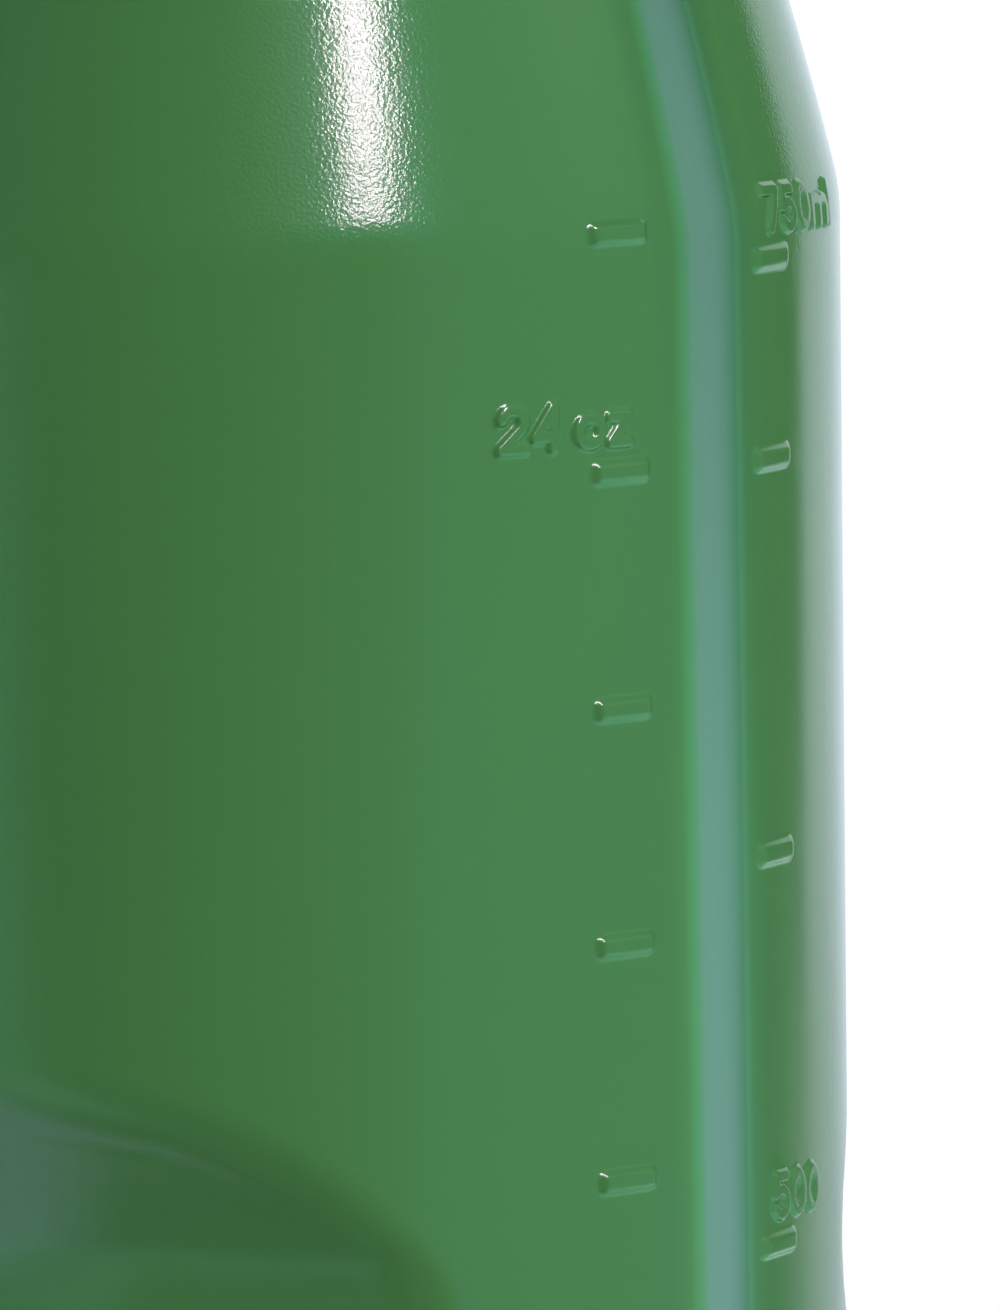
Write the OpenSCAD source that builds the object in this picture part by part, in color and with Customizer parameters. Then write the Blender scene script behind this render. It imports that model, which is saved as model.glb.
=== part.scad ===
// Round blow-moulded oil bottle with two grip recesses, a view stripe, a raised fluid scale,
// and a screw-on pour spout with its tip cap. Millimetres, +Z up, origin at the centre of the base.
// The view stripe faces +X and the grip recesses face -Y and +Y.

/* [Body] */
// Outside diameter of the body
body_d = 73.6; // [72:0.2:76]
// Wall thickness of the bottle
wall = 1.0; // [0.8:0.1:1.2]
// Height of the kink where the body ends and the shoulder begins
kink_z = 192.8; // [190:0.2:200]
// Radius of the rounded heel
heel_r = 6; // [4:0.5:8]
// Inside radius of the foot ring that the bottle stands on
foot_in_r = 25; // [23:0.5:27]
// Height of the push-up inside the foot ring
push_up = 3; // [2:0.5:4]
// Thickness of the base
base_t = 1.4; // [1.2:0.1:1.8]

/* [Shoulder] */
// Angle of the shoulder from the vertical at the kink, in degrees
shoulder_deg = 13.1; // [12:0.1:16]
// Radius of the shoulder's long convex arc
shoulder_arc_r = 231; // [220:1:280]
// Radius of the flat ledge at the foot of the neck
ledge_r = 22.2; // [22:0.1:23]
// Thickness of the bottle under that ledge
ledge_t = 1.6; // [1.4:0.1:2]

/* [Grip recesses] */
// Depth at the middle of a recess
recess_depth = 7.7; // [7:0.1:8]
// Radius of the rounded middle of a recess, seen from above
recess_arc_r = 38; // [36:1:40]
// Angle at which the flats on both sides of the middle lean back, in degrees
recess_flat_deg = 20.6; // [20:0.2:23]
// Height of the middle of the recesses above the base
recess_z = 126; // [120:1:132]
// Radius of the hollow floor of a recess, seen from the side
recess_floor_r = 9.4; // [9.2:0.2:10]
// Height from the middle to the crease between floor and wall
crease_h = 4.6; // [4.2:0.1:4.8]
// Angle of a recess's upper and lower walls from the vertical, in degrees
recess_wall_deg = 32; // [32:1:37]

/* [View stripe] */
// Width of the stripe round the body, in degrees
stripe_deg = 7.2; // [6:0.2:9]
// Height of its lower end above the heel
stripe_start = 2; // [1:0.5:4]
// Distance of its upper end below the neck ledge
stripe_end = 4; // [3:0.5:6]

/* [Scale] */
// Height of the 700 ml mark
ml_700_z = 177.6; // [175:0.1:180]
// Height of 100 ml in the body
ml_100_h = 24.8; // [24:0.1:26]
// Height of the 24 oz mark
oz_24_z = 178.1; // [175:0.1:180]
// Height of 2 oz in the body
oz_2_h = 14.7; // [14:0.1:15.5]
// Length of a mark round the body, in degrees
mark_deg = 7.4; // [6:0.2:8]
// Height of a mark
mark_h = 1.5; // [1:0.1:2]
// How far a mark stands out of the wall
mark_relief = 0.4; // [0.2:0.1:0.6]
// Angle from the stripe to the middle of the ml marks, in degrees
ml_deg = 10.5; // [9:0.5:14]
// Angle from the stripe to the middle of the oz marks, in degrees
oz_deg = -12.4; // [-15:0.2:-10]

/* [Neck] */
// Radius of the neck at the root of its thread
neck_r = 17.5; // [17.3:0.1:17.6]
// Radius of the neck's bore
bore_r = 15.5; // [15:0.1:15.8]
// Height of the neck above its ledge
neck_h = 18; // [17.5:0.5:19]
// Radius of the bead that holds the tamper ring down
bead_r = 18.9; // [18.7:0.1:19]
// Rise of the neck thread in one turn
thread_pitch = 4.2; // [4:0.1:4.4]
// Outside radius of the neck thread
thread_r = 18.65; // [18.5:0.05:18.7]

/* [Pour spout] */
// Outside radius of the fluted skirt
skirt_r = 21.8; // [21.6:0.1:22]
// Inside radius of the skirt
skirt_in_r = 19.35; // [19.3:0.05:19.5]
// Outside radius at the foot of the cone
cone_r = 17.2; // [16.8:0.1:17.6]
// Height of the cone
cone_h = 58; // [50:1:70]
// Wall thickness of the cone
cone_wall = 1.5; // [1.3:0.1:1.8]
// Outside radius at the top of the cone
cone_top_r = 8.6; // [8.4:0.1:9]
// Number of flutes round the skirt
skirt_flutes = 36; // [24:2:40]

/* [Spout tip and cap] */
// Outside radius of the tip at the root of its thread
tip_r = 6.8; // [6.7:0.1:6.9]
// Radius of the outlet
outlet_r = 5.2; // [5:0.1:5.4]
// Height of the tip above the cone
tip_h = 12; // [11:0.5:13]
// Rise of the tip thread in one turn
tip_pitch = 2.6; // [2.5:0.1:2.8]
// Outside radius of the tip thread
tip_thread_r = 7.7; // [7.6:0.05:7.75]
// Outside radius of the tip cap
cap_r = 10.4; // [10.2:0.1:11]
// Inside radius of the tip cap
cap_in_r = 8.15; // [8.1:0.05:8.3]
// Thickness of the cap's top
cap_top = 1.8; // [1.5:0.1:2.2]
// Number of flutes round the tip cap
cap_flutes = 24; // [16:2:28]

/* [Ring and seals] */
// Height of the tamper ring
ring_h = 3.4; // [3:0.2:3.6]
// Outside radius of the tamper ring
ring_r = 21.6; // [21.2:0.1:21.8]
// Thickness of the rim gasket
gasket_t = 1.2; // [1:0.1:1.5]
// Thickness of the tip seal's disc
seal_t = 1; // [0.8:0.1:1.3]

/* [Hidden] */
$fn = 128;

body_r = body_d / 2;
ml_step = 100;
oz_step = 2;

// The shoulder's arc is tangent to a line at shoulder_deg where it meets the body.
arc_x = body_r - shoulder_arc_r * cos(shoulder_deg);
arc_z = kink_z - shoulder_arc_r * sin(shoulder_deg);
ledge_a = acos((ledge_r - arc_x) / shoulder_arc_r);
ledge_z = arc_z + shoulder_arc_r * sin(ledge_a);
rim_z = ledge_z + neck_h;

// A grip recess is cut by one section, swept round its middle and straight along its flats.
recess_x = body_r - recess_depth - recess_arc_r;
recess_reach = 10;
recess_flat_l = 30;
flat_lap = 0.05;
flat_back = 4;

// Gaps and small sizes of the closure
ring_gap = 0.5;
bead_z = ledge_z + ring_h + ring_gap;
bead_h = 1.9;
skirt_z = bead_z;
gasket_z = rim_z;
seat_z = gasket_z + gasket_t;
seat_t = 1.8;
cone_z = seat_z + seat_t;
cone_top_z = cone_z + cone_h;
tip_z = cone_top_z + tip_h;
cap_z = cone_top_z + 0.5;
cap_seat_z = tip_z + seal_t;
cap_top_z = cap_seat_z + cap_top;
thread_z = bead_z + 4.7;
tip_thread_z = cone_top_z + 3.6;
flute_r = 0.9;

// Points on an arc about c, from angle a0 to angle a1 in n steps
function arc(c, r, a0, a1, n) =
    [for (i = [0:n]) let (a = a0 + (a1 - a0) * i / n) c + r * [cos(a), sin(a)]];

// Outside of the bottle, from the axis at the base round to the axis at the rim
function outside() = concat(
    [[0, push_up], [foot_in_r - 4, push_up], [foot_in_r, 0]],
    arc([body_r - heel_r, heel_r], heel_r, -90, 0, 8),
    arc([arc_x, arc_z], shoulder_arc_r, shoulder_deg, ledge_a, 12),
    [[neck_r, ledge_z], [neck_r, bead_z], [bead_r, bead_z + 0.4], [bead_r, bead_z + 1.1],
     [neck_r, bead_z + bead_h], [neck_r, rim_z], [0, rim_z]]);

// Inside of the bottle, one wall thickness in, open at the rim
function inside() =
    let (r = shoulder_arc_r - wall,
         a0 = acos((body_r - wall - arc_x) / r),
         a1 = asin((ledge_z - ledge_t - arc_z) / r))
    concat(
        [[0, push_up + base_t], [foot_in_r - 4.5, push_up + base_t], [foot_in_r - 0.5, base_t]],
        arc([body_r - heel_r, heel_r], heel_r - base_t, -90, -45, 4),
        arc([body_r - heel_r, heel_r], heel_r - wall, -35, 0, 4),
        arc([arc_x, arc_z], r, a0, a1, 12),
        [[bore_r, ledge_z - ledge_t], [bore_r, rim_z + 1], [0, rim_z + 1]]);

// Section that cuts a recess, r from the centre of its middle arc, grown towards the axis by g
function recess_section(g) =
    let (w = recess_arc_r + recess_floor_r - sqrt(pow(recess_floor_r, 2) - pow(crease_h, 2)),
         n1 = [w - recess_arc_r - recess_floor_r, crease_h] / recess_floor_r,
         n2 = [-cos(recess_wall_deg), sin(recess_wall_deg)],
         crease = [w, crease_h] + g * (n1 + n2) / (1 + n1 * n2),
         a = asin(crease[1] / (recess_floor_r + g)),
         far_z = crease[1] + recess_reach / tan(recess_wall_deg))
    concat(
        [[crease[0] + recess_reach, -far_z]],
        arc([recess_arc_r + recess_floor_r, 0], recess_floor_r + g, 180 + a, 180 - a, 10),
        [[crease[0] + recess_reach, far_z]]);

// The flats start inside the middle arc and lie flat_lap deeper, so that the two cross cleanly.
module recess_cutters(g) {
    for (side = [-1, 1])
        rotate([0, 0, side * 90])
            translate([recess_x, 0, recess_z]) {
                rotate([0, 0, -recess_flat_deg])
                    rotate_extrude(angle = 2 * recess_flat_deg)
                        polygon(recess_section(g));
                rotate([0, 0, recess_flat_deg])
                    translate([0, recess_flat_l, 0])
                        rotate([90, 0, 0])
                            linear_extrude(recess_flat_l + flat_back)
                                polygon(recess_section(g + flat_lap));
                rotate([0, 0, -recess_flat_deg])
                    translate([0, flat_back, 0])
                        rotate([90, 0, 0])
                            linear_extrude(recess_flat_l + flat_back)
                                polygon(recess_section(g + flat_lap));
            }
}

// A raised mark on the body at angle a and height z
module mark(a, z) {
    rotate([0, 0, a - mark_deg / 2])
        translate([0, 0, z])
            rotate_extrude(angle = mark_deg)
                polygon([
                    [body_r - wall / 2, -mark_h / 2], [body_r, -mark_h / 2],
                    [body_r + mark_relief, -mark_h / 4], [body_r + mark_relief, mark_h / 4],
                    [body_r, mark_h / 2], [body_r - wall / 2, mark_h / 2]]);
}

module scale_marks() {
    for (ml = [ml_step:ml_step:700])
        mark(ml_deg, ml_700_z + (ml - 700) / ml_step * ml_100_h);
    mark(ml_deg, ml_700_z + ml_100_h / 2);
    for (oz = [oz_step:oz_step:26])
        mark(oz_deg, oz_24_z + (oz - 24) / oz_step * oz_2_h);
}

// A right-hand thread ridge: base_r to crest_r, base_w and crest_w its widths, fading at both ends
module thread(base_r, crest_r, base_w, crest_w, pitch, turns) {
    steps = 24;
    n = ceil(turns * steps);
    points = [
        for (i = [0:n])
            let (a = 360 * turns * i / n,
                 fade = min(1, i / 5, (n - i) / 5),
                 top_r = base_r + (crest_r - base_r) * (0.3 + 0.7 * fade),
                 z = pitch * a / 360)
            each [
                [base_r * cos(a), base_r * sin(a), z - base_w / 2],
                [top_r * cos(a), top_r * sin(a), z - crest_w / 2],
                [top_r * cos(a), top_r * sin(a), z + crest_w / 2],
                [base_r * cos(a), base_r * sin(a), z + base_w / 2]]];
    side = [
        for (i = [0:n - 1], k = [0:3])
            let (p = 4 * i + k, q = 4 * i + (k + 1) % 4)
            each [[p, p + 4, q], [q, p + 4, q + 4]]];
    ends = [[0, 1, 2], [0, 2, 3], [4 * n, 4 * n + 2, 4 * n + 1], [4 * n, 4 * n + 3, 4 * n + 2]];
    outward = [for (f = concat(side, ends)) [f[0], f[2], f[1]]];
    polyhedron(points, crest_r > base_r ? outward : concat(side, ends));
}

// Grooves round a skirt of radius r, from z0 to z1
module flutes(count, r, z0, z1) {
    for (i = [0:count - 1])
        rotate([0, 0, 360 * i / count])
            translate([r + 0.55 * flute_r, 0, z0])
                cylinder(r = flute_r, h = z1 - z0, $fn = 24);
}

// The bottle before the stripe is parted from it
module bottle_wall() {
    difference() {
        union() {
            difference() {
                rotate_extrude() polygon(outside());
                recess_cutters(0);
            }
            scale_marks();
        }
        difference() {
            rotate_extrude() polygon(inside());
            recess_cutters(wall);
        }
    }
}

// The block of wall that the stripe fills
module stripe_sector() {
    z0 = heel_r + stripe_start;
    rotate([0, 0, -stripe_deg / 2])
        translate([0, 0, z0])
            rotate_extrude(angle = stripe_deg)
                translate([bore_r + 2, 0])
                    square([body_r - bore_r + 3, ledge_z - stripe_end - z0]);
}

module bottle_shell() {
    color([0.25, 0.47, 0.27])
        union() {
            difference() {
                bottle_wall();
                stripe_sector();
            }
            translate([0, 0, thread_z])
                thread(neck_r - 0.6, thread_r, 2.1, 1.0, thread_pitch, 1.5);
        }
}

module view_stripe() {
    color([0.38, 0.58, 0.5])
        intersection() {
            bottle_wall();
            stripe_sector();
        }
}

// The broken-off ring that stays loose under the bead
module tamper_ring() {
    in_r = neck_r + 0.4;
    color([0.9, 0.89, 0.84])
        rotate_extrude()
            polygon([
                [in_r + 1.2, ledge_z], [ring_r, ledge_z], [ring_r, ledge_z + ring_h],
                [in_r + 1.9, ledge_z + ring_h], [in_r, ledge_z + ring_h - 0.4],
                [in_r, ledge_z + ring_h - 1.3]]);
}

// The washer between the rim and the spout's seat
module rim_gasket() {
    color([0.82, 0.82, 0.8])
        translate([0, 0, gasket_z])
            difference() {
                cylinder(r = neck_r + 0.2, h = gasket_t);
                translate([0, 0, -1])
                    cylinder(r = bore_r - 1, h = gasket_t + 2);
            }
}

module pour_spout() {
    cone_in_r = cone_r - cone_wall;
    color([0.9, 0.89, 0.84])
        union() {
            difference() {
                rotate_extrude()
                    polygon([
                        [skirt_in_r, skirt_z], [skirt_r, skirt_z], [skirt_r, cone_z - 1.2],
                        [skirt_r - 1.2, cone_z], [cone_r, cone_z], [cone_top_r, cone_top_z],
                        [tip_r, cone_top_z], [tip_r, tip_z - 0.6], [tip_r - 0.6, tip_z],
                        [outlet_r, tip_z], [outlet_r, cone_top_z - 4],
                        [cone_in_r, cone_z], [cone_in_r, seat_z],
                        [skirt_in_r, seat_z]]);
                flutes(skirt_flutes, skirt_r, skirt_z + 1.4, cone_z - 2.6);
            }
            translate([0, 0, thread_z + thread_pitch / 2])
                thread(skirt_in_r + 0.6, neck_r + 0.5, 2.1, 0.9, thread_pitch, 1.25);
            translate([0, 0, tip_thread_z])
                thread(tip_r - 0.5, tip_thread_r, 1.5, 0.6, tip_pitch, 1.75);
        }
}

// The disc in the tip cap, with a short plug that enters the outlet
module tip_seal() {
    plug_h = 1.6;
    color([0.82, 0.82, 0.8])
        union() {
            translate([0, 0, tip_z])
                cylinder(r = tip_r + 0.5, h = seal_t);
            translate([0, 0, tip_z - plug_h])
                cylinder(r = outlet_r - 0.4, h = plug_h + seal_t / 2);
        }
}

module tip_cap() {
    color([0.2, 0.38, 0.22])
        union() {
            difference() {
                rotate_extrude()
                    polygon([
                        [cap_in_r, cap_z], [cap_r, cap_z], [cap_r, cap_top_z - 1],
                        [cap_r - 1, cap_top_z], [0, cap_top_z], [0, cap_seat_z],
                        [cap_in_r, cap_seat_z]]);
                flutes(cap_flutes, cap_r, cap_z + 1.2, cap_top_z - 2);
            }
            translate([0, 0, tip_thread_z + tip_pitch / 2])
                thread(cap_in_r + 0.5, tip_r + 0.35, 1.5, 0.5, tip_pitch, 1.5);
        }
}

bottle_shell();
view_stripe();
tamper_ring();
rim_gasket();
pour_spout();
tip_seal();
tip_cap();
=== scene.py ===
import math

import bmesh
import bpy
import numpy as np
from mathutils import Matrix, Vector


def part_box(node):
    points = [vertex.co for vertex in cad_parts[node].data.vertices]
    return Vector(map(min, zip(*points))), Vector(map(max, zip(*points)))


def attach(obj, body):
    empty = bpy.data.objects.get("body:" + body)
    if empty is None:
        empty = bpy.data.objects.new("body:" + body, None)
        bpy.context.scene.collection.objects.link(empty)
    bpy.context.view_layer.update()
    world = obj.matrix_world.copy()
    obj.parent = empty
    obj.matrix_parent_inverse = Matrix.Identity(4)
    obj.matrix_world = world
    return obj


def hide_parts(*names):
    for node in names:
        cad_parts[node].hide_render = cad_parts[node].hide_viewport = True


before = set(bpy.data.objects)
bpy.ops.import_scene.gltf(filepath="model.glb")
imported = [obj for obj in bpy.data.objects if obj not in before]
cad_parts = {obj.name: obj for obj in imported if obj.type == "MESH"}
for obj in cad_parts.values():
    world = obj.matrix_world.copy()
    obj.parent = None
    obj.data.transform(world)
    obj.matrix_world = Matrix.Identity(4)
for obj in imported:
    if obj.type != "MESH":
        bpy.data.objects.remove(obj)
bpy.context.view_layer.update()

# Shapes are worked out in millimetres and turned into metres when a mesh is made.
MM = 0.001


def span(node):
    """Lowest and highest height of a CAD node, in millimetres."""
    low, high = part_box(node)
    return low[2] / MM, high[2] / MM


# ---------------------------------------------------------------- sizes from the design
BODY_R = 36.78
WALL = 1.0
INSET = WALL * 1.06
HEEL_R = 6.0
FOOT_IN_R = 25.0
PUSH_UP = 3.0
BASE_T = 1.4

KINK_Z = 192.8
SHOULDER_TILT = math.radians(13.1)
SHOULDER_ARC = 231.0
ARC_R0 = BODY_R - SHOULDER_ARC * math.cos(SHOULDER_TILT)
ARC_Z0 = KINK_Z - SHOULDER_ARC * math.sin(SHOULDER_TILT)
KINK_BLEND = 0.38

RECESS_DEPTH = 7.7
RECESS_ARC_R = 38.0
RECESS_FLAT = math.radians(20.6)
RECESS_Z = 126.0
FLOOR_ARC = 9.8
CREASE_H = 4.6
WALL_SLOPE = 0.53
WALL_HOLLOW = 0.0096
RECESS_X = BODY_R - RECESS_DEPTH - RECESS_ARC_R
RECESS_BLEND = 1.5
RECESS_END = 1.45
LINE_LEVEL = 2.0
LINE_WIDTH = 0.2
LINE_DEPTH = 0.05
LINE_END = 44
LINE_FADE = 14

LEDGE_R = 22.2
LEDGE_T = 1.6
NECK_R = 17.5
BORE_R = 15.5
BEAD_R = 18.9
NECK_THREAD_R = 18.65
NECK_PITCH = 4.2
LEDGE_Z, RING_TOP = span("tamper_ring")
BEAD_Z = RING_TOP + 0.5
THREAD_Z = BEAD_Z + 4.7
RIM_Z, SEAT_Z = span("rim_gasket")
SKIRT_Z, TIP_Z = span("pour_spout")
CAP_Z, CAP_TOP = span("tip_cap")
PLUG_Z, SEAL_TOP = span("tip_seal")

STRIPE_HALF = 3.6
STRIPE_LOW, STRIPE_HIGH = span("view_stripe")

MARK_HALF_LEN = 2.5
MARK_HALF_H = 0.95
MARK_RELIEF = 0.4
MARK_BEVEL = 0.62
MARK_END_BEVEL = 0.85
OZ_DEG = -12.15
ML_DEG = 10.5
OZ_STEP = 14.7
ML_STEP = 24.8
OZ_MARKS = {oz: 178.1 + (oz - 24) / 2 * OZ_STEP for oz in range(2, 27, 2)}
ML_MARKS = {ml: 177.6 + (ml - 700) / 100 * ML_STEP for ml in range(100, 701, 100)}
ML_MARKS[750] = 190.1


# ---------------------------------------------------------------- small maths
def smooth(t):
    """0 below 0, 1 above 1 and an eased rise in between."""
    t = np.clip(t, 0, 1)
    return t * t * (3 - 2 * t)


def soft_max(a, b, k):
    """The larger of two values, with the corner between them rounded over a width of k."""
    h = np.maximum(k - np.abs(a - b), 0) / k
    return np.maximum(a, b) + h * h * k / 4


def soft_min(a, b, k):
    return -soft_max(-a, -b, k)


def arc(cx, cy, rx, ry, start, end, steps=10):
    """Points on an ellipse's arc between two angles in degrees."""
    turn = np.radians(np.linspace(start, end, steps + 1))
    return [(cx + rx * math.cos(t), cy + ry * math.sin(t)) for t in turn]


# ---------------------------------------------------------------- the bottle's surface
def body_radius(z):
    """Radius of the body and shoulder without recesses or relief."""
    z = np.asarray(z, float)
    up = np.clip((z - ARC_Z0) / SHOULDER_ARC, 0, 1)
    shoulder = ARC_R0 + SHOULDER_ARC * np.sqrt(1 - up * up)
    return soft_min(BODY_R, shoulder, KINK_BLEND)


def recess_depth(angle, z):
    """How far the two grip recesses go in at an angle in radians and a height."""
    away = np.abs(z - RECESS_Z)
    floor = FLOOR_ARC - np.sqrt(FLOOR_ARC ** 2 - np.minimum(away, CREASE_H) ** 2)
    over = np.maximum(away - CREASE_H, 0)
    rise = floor + over * WALL_SLOPE + over ** 2 * WALL_HOLLOW
    reach = RECESS_ARC_R + rise
    turn = np.arctan2(reach * math.sin(RECESS_FLAT), RECESS_X + reach * math.cos(RECESS_FLAT))
    depth = np.zeros(np.broadcast(angle, z).shape)
    for middle in (-math.pi / 2, math.pi / 2):
        a = np.abs((angle - middle + math.pi) % (2 * math.pi) - math.pi)
        middle_r = RECESS_X * np.cos(a) + np.sqrt(reach ** 2 - (RECESS_X * np.sin(a)) ** 2)
        flat_r = (reach + RECESS_X * math.cos(RECESS_FLAT)) / np.cos(np.clip(a - RECESS_FLAT, -1.2, 1.2))
        cut = np.where(a < turn, middle_r, flat_r)
        here = soft_max(0 * cut, BODY_R - cut, RECESS_BLEND)
        depth = np.where(a < RECESS_END, np.maximum(depth, here), depth)
    line = LINE_DEPTH * np.exp(-((depth - LINE_LEVEL) / LINE_WIDTH) ** 2)
    from_middle = np.abs(np.abs(np.degrees(angle)) - 90)
    return depth + line * (z > RECESS_Z) * smooth((LINE_END - from_middle) / LINE_FADE)


DIGIT_W, DIGIT_H, STROKE, STROKE_TOP = 1.6, 2.4, 0.54, 0.25
GLYPHS = {
    "0": (1.0, [arc(0.5, 0.5, 0.5, 0.5, 0, 360, 24)]),
    "1": (0.6, [[(0.05, 0.78), (0.45, 1.0), (0.45, 0.0)]]),
    "2": (1.0, [arc(0.48, 0.7, 0.48, 0.3, 165, -35) + [(0.0, 0.0), (1.0, 0.0)]]),
    "4": (1.0, [[(0.78, 0.0), (0.78, 1.0), (0.0, 0.27), (1.0, 0.27)]]),
    "5": (1.0, [[(0.9, 1.0), (0.15, 1.0), (0.06, 0.55)] + arc(0.48, 0.33, 0.5, 0.33, 130, -150)]),
    "6": (1.0, [arc(0.5, 0.32, 0.5, 0.32, 0, 360, 24), arc(1.0, 0.32, 1.0, 0.68, 108, 180)]),
    "7": (1.0, [[(0.0, 1.0), (1.0, 1.0), (0.35, 0.0)]]),
    "8": (1.0, [arc(0.5, 0.27, 0.5, 0.27, 0, 360, 20), arc(0.5, 0.77, 0.42, 0.23, 0, 360, 20)]),
    "o": (1.05, [arc(0.52, 0.33, 0.53, 0.33, 0, 360, 20)]),
    "z": (0.85, [[(0.0, 0.66), (0.85, 0.66), (0.0, 0.0), (0.85, 0.0)]]),
    "m": (1.9, [[(0.0, 0.0), (0.0, 0.66)], arc(0.48, 0.42, 0.48, 0.24, 180, 0) + [(0.96, 0.0)],
                arc(1.43, 0.42, 0.47, 0.24, 180, 0) + [(1.9, 0.0)]]),
    "l": (0.0, [[(0.0, 0.0), (0.0, 0.98)]]),
    " ": (0.0, []),
}
LETTER_GAP = 0.72
WORD_GAP = 0.75


def label_strokes(text):
    """The strokes of a label in millimetres from its lower left corner, and its width."""
    strokes, x = [], 0.0
    for char in text:
        width, paths = GLYPHS[char]
        for path in paths:
            strokes.append([(x + px * DIGIT_W, py * DIGIT_H) for px, py in path])
        x += width * DIGIT_W + (WORD_GAP if char == " " else LETTER_GAP)
    return strokes, x - LETTER_GAP


def stroke_distance(u, v, path):
    """Distance of points from a line through a path's corners."""
    best = np.full(u.shape, np.inf)
    for (ax, ay), (bx, by) in zip(path, path[1:]):
        dx, dy = bx - ax, by - ay
        t = np.clip(((u - ax) * dx + (v - ay) * dy) / (dx * dx + dy * dy), 0, 1)
        best = np.minimum(best, np.hypot(u - ax - t * dx, v - ay - t * dy))
    return best


LABEL_LIFT = 1.84
LABEL_RELIEF = 0.27
OZ_LABEL_RIGHT = -11.3
ML_LABEL_LEFT = 9.6
ML_LABEL_FALL = 0.04
LABELS = []
for oz in (8, 16, 24):
    strokes, width = label_strokes(f"{oz} oz")
    left = OZ_LABEL_RIGHT - math.degrees(width / BODY_R)
    LABELS.append((strokes, width, left, OZ_MARKS[oz] + LABEL_LIFT, 0.0))
for ml in (250, 500, 750):
    strokes, width = label_strokes(f"{ml}" + ("ml" if ml == 750 else ""))
    base = ML_MARKS[ml] if ml in ML_MARKS else ML_MARKS[200] + ML_STEP / 2
    LABELS.append((strokes, width, ML_LABEL_LEFT, base + LABEL_LIFT, ML_LABEL_FALL))


def relief(degrees, z):
    """Height of the raised marks and numbers at an angle in degrees and a height."""
    out = np.zeros(degrees.shape)
    core_len, core_h = MARK_HALF_LEN - MARK_END_BEVEL, MARK_HALF_H - MARK_BEVEL
    for middle, marks in ((OZ_DEG, OZ_MARKS), (ML_DEG, ML_MARKS)):
        u = np.abs(np.radians(degrees - middle)) * BODY_R - core_len
        for mark_z in marks.values():
            v = np.abs(z - mark_z) - core_h
            away = np.hypot(np.maximum(u, 0) / MARK_END_BEVEL, np.maximum(v, 0) / MARK_BEVEL)
            out = np.maximum(out, MARK_RELIEF * smooth(1 - away))
    for strokes, width, left, base, fall in LABELS:
        right = left + math.degrees(width / BODY_R)
        beside = (degrees > left - 2) & (degrees < right + 2)
        near = np.nonzero((np.abs(z - base - DIGIT_H / 2) < 2.6) & beside)[0]
        u = np.radians(degrees[near] - left) * BODY_R
        v = z[near] - base + fall * u
        for path in strokes:
            away = stroke_distance(u, v, path)
            dome = LABEL_RELIEF * smooth((STROKE - away) / (STROKE - STROKE_TOP))
            out[near] = np.maximum(out[near], dome)
    return out


def outer_radius(angle, z):
    return body_radius(z) - recess_depth(angle, z)


# ---------------------------------------------------------------- meshes
def polar(r, angle, z):
    """Points from radii, angles in radians and heights."""
    return np.stack([r * np.cos(angle), r * np.sin(angle), z], -1)


def read(items, name):
    """A vector that each item of a mesh holds, as rows of three numbers."""
    values = np.empty(len(items) * 3)
    items.foreach_get(name, values)
    return values.reshape(-1, 3)


def new_piece(name, points, faces, body, material, nodes):
    """A mesh piece from points in millimetres, riding on a body in place of CAD nodes."""
    mesh = bpy.data.meshes.new(name)
    mesh.from_pydata((np.asarray(points) * MM).tolist(), [], [list(map(int, f)) for f in faces])
    bm = bmesh.new()
    bm.from_mesh(mesh)
    bmesh.ops.recalc_face_normals(bm, faces=bm.faces)
    bm.to_mesh(mesh)
    bm.free()
    mesh.shade_smooth()
    piece = bpy.data.objects.new(name, mesh)
    bpy.context.scene.collection.objects.link(piece)
    mesh.materials.append(material)
    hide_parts(*nodes)
    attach(piece, body)
    return piece


def rounded(corners, steps=5):
    """A closed outline through (r, z, radius) corners, each rounded by an arc with points beside it."""
    out = []
    count = len(corners)
    for i, (r, z, radius) in enumerate(corners):
        here = np.array([r, z])
        before = np.array(corners[i - 1][:2]) - here
        after = np.array(corners[(i + 1) % count][:2]) - here
        reach_a, reach_b = np.linalg.norm(before), np.linalg.norm(after)
        before, after = before / reach_a, after / reach_b
        bend = math.acos(float(np.clip(before @ after, -1, 1)))
        if radius <= 0 or abs(bend - math.pi) < 1e-3:
            out.append(here)
            continue
        cut = min(radius / math.tan(bend / 2), 0.42 * reach_a, 0.42 * reach_b)
        size = cut * math.tan(bend / 2)
        centre = here + (before + after) / np.linalg.norm(before + after) * size / math.sin(bend / 2)
        first, last = here + before * cut, here + after * cut
        out.append(first + before * min(0.12, 0.2 * cut))
        for k in range(steps + 1):
            chord = first + (last - first) * k / steps
            out.append(centre + (chord - centre) / np.linalg.norm(chord - centre) * size)
        out.append(last + after * min(0.12, 0.2 * cut))
    return np.array(out)


def dense(points, step, closed=True):
    """The outline with no segment longer than step. step may be a function of the segment's middle."""
    ends = np.roll(points, -1, axis=0) if closed else points[1:]
    starts = points if closed else points[:-1]
    out = []
    for a, b in zip(starts, ends):
        size = step(*((a + b) / 2)) if callable(step) else step
        n = max(1, math.ceil(np.linalg.norm(b - a) / size))
        out.extend(a + (b - a) * k / n for k in range(n))
    if not closed:
        out.append(points[-1])
    return np.array(out)


def band(first, second, columns):
    """Quads between two rings of vertices that start at these indices."""
    j = np.arange(columns)
    k = (j + 1) % columns
    return np.stack([first + j, first + k, second + k, second + j], 1)


def fans(poles, last, columns):
    """Triangles from two poles to the first ring of vertices and to the ring that starts at last."""
    faces = []
    for j in range(columns):
        k = (j + 1) % columns
        faces += [(poles, k, j), (poles + 1, last + j, last + k)]
    return faces


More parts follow.
